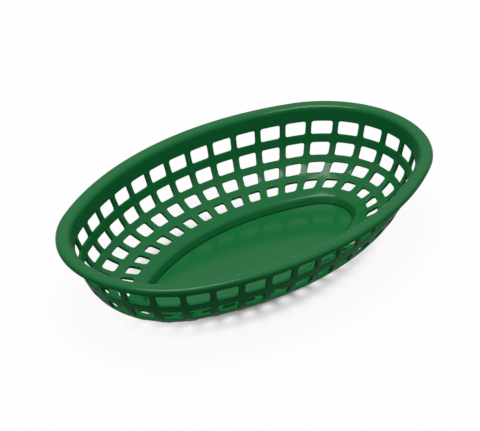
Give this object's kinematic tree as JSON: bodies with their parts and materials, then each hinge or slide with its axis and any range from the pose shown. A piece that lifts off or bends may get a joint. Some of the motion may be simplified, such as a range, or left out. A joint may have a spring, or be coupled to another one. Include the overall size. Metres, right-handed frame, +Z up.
{
  "type": "oval serving basket",
  "caption": "Shallow oval plastic serving basket with a rolled rim, a lattice wall of rectangular windows and a recessed oval floor that it stands on.",
  "frame": {"origin": "on the table, under the middle of the floor panel", "axes": "+X along the basket, +Y across it, +Z up out of its mouth"},
  "size_m": [0.238, 0.1544, 0.046],
  "materials": {
    "moulding": "green polypropylene with a satin moulded surface"
  },
  "bodies": {
    "root": {"rim_flange": "moulding", "rim_lip": "moulding", "upper_band": "moulding", "window_course_1": "moulding", "window_course_2": "moulding", "window_course_3": "moulding", "window_course_4": "moulding", "ledge_step": "moulding", "floor_panel": "moulding"}
  },
  "joints": []
}
